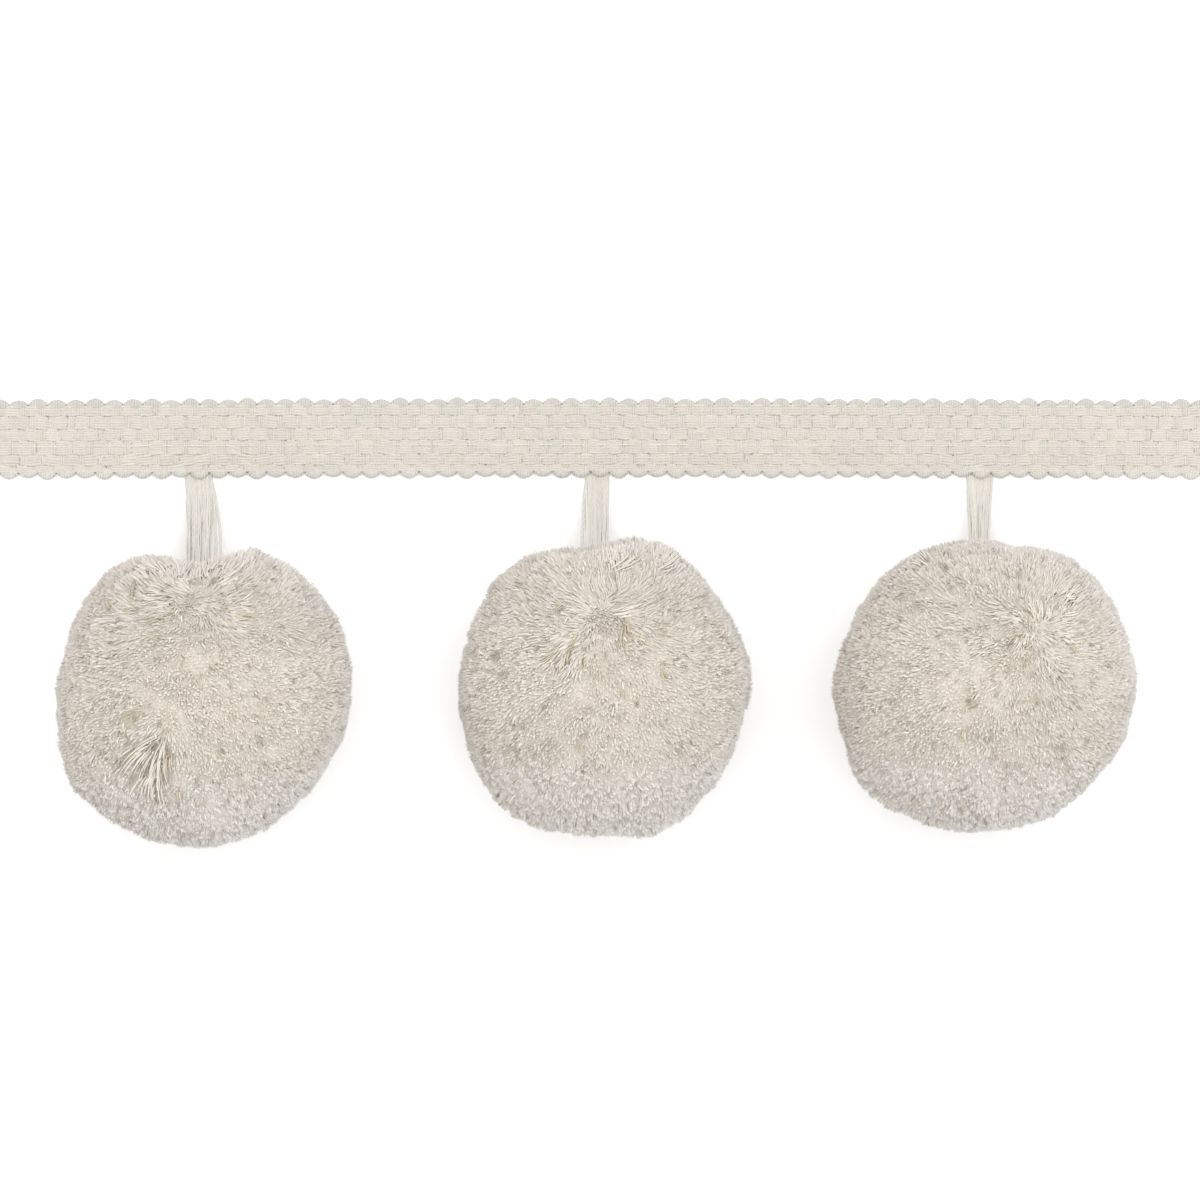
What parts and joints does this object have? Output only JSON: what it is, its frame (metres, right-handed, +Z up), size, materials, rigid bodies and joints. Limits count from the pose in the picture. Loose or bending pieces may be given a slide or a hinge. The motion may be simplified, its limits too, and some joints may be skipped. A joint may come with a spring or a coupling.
{
  "type": "pom pom trim",
  "caption": "Length of cream woven heading braid with scalloped edges, carrying large cut pile pompoms on short bundles of yarn.",
  "frame": {"origin": "middle of the trim's box, on the surface that it lies on", "axes": "+X along the braid, +Y across the trim from the pompoms towards the braid, +Z up from the surface, out of the trim's face"},
  "size_m": [0.312, 0.1138, 0.0724],
  "materials": {
    "braid_cotton": "matt basket-woven cream cotton",
    "hanger_yarn": "matt off-white cotton yarn",
    "pile_yarn": "matt cream cut cotton pile"
  },
  "bodies": {
    "root": {"heading_braid": "braid_cotton", "hanger_1": "hanger_yarn", "hanger_2": "hanger_yarn", "hanger_3": "hanger_yarn", "pompom_1": "pile_yarn", "pompom_2": "pile_yarn", "pompom_3": "pile_yarn"}
  },
  "joints": []
}
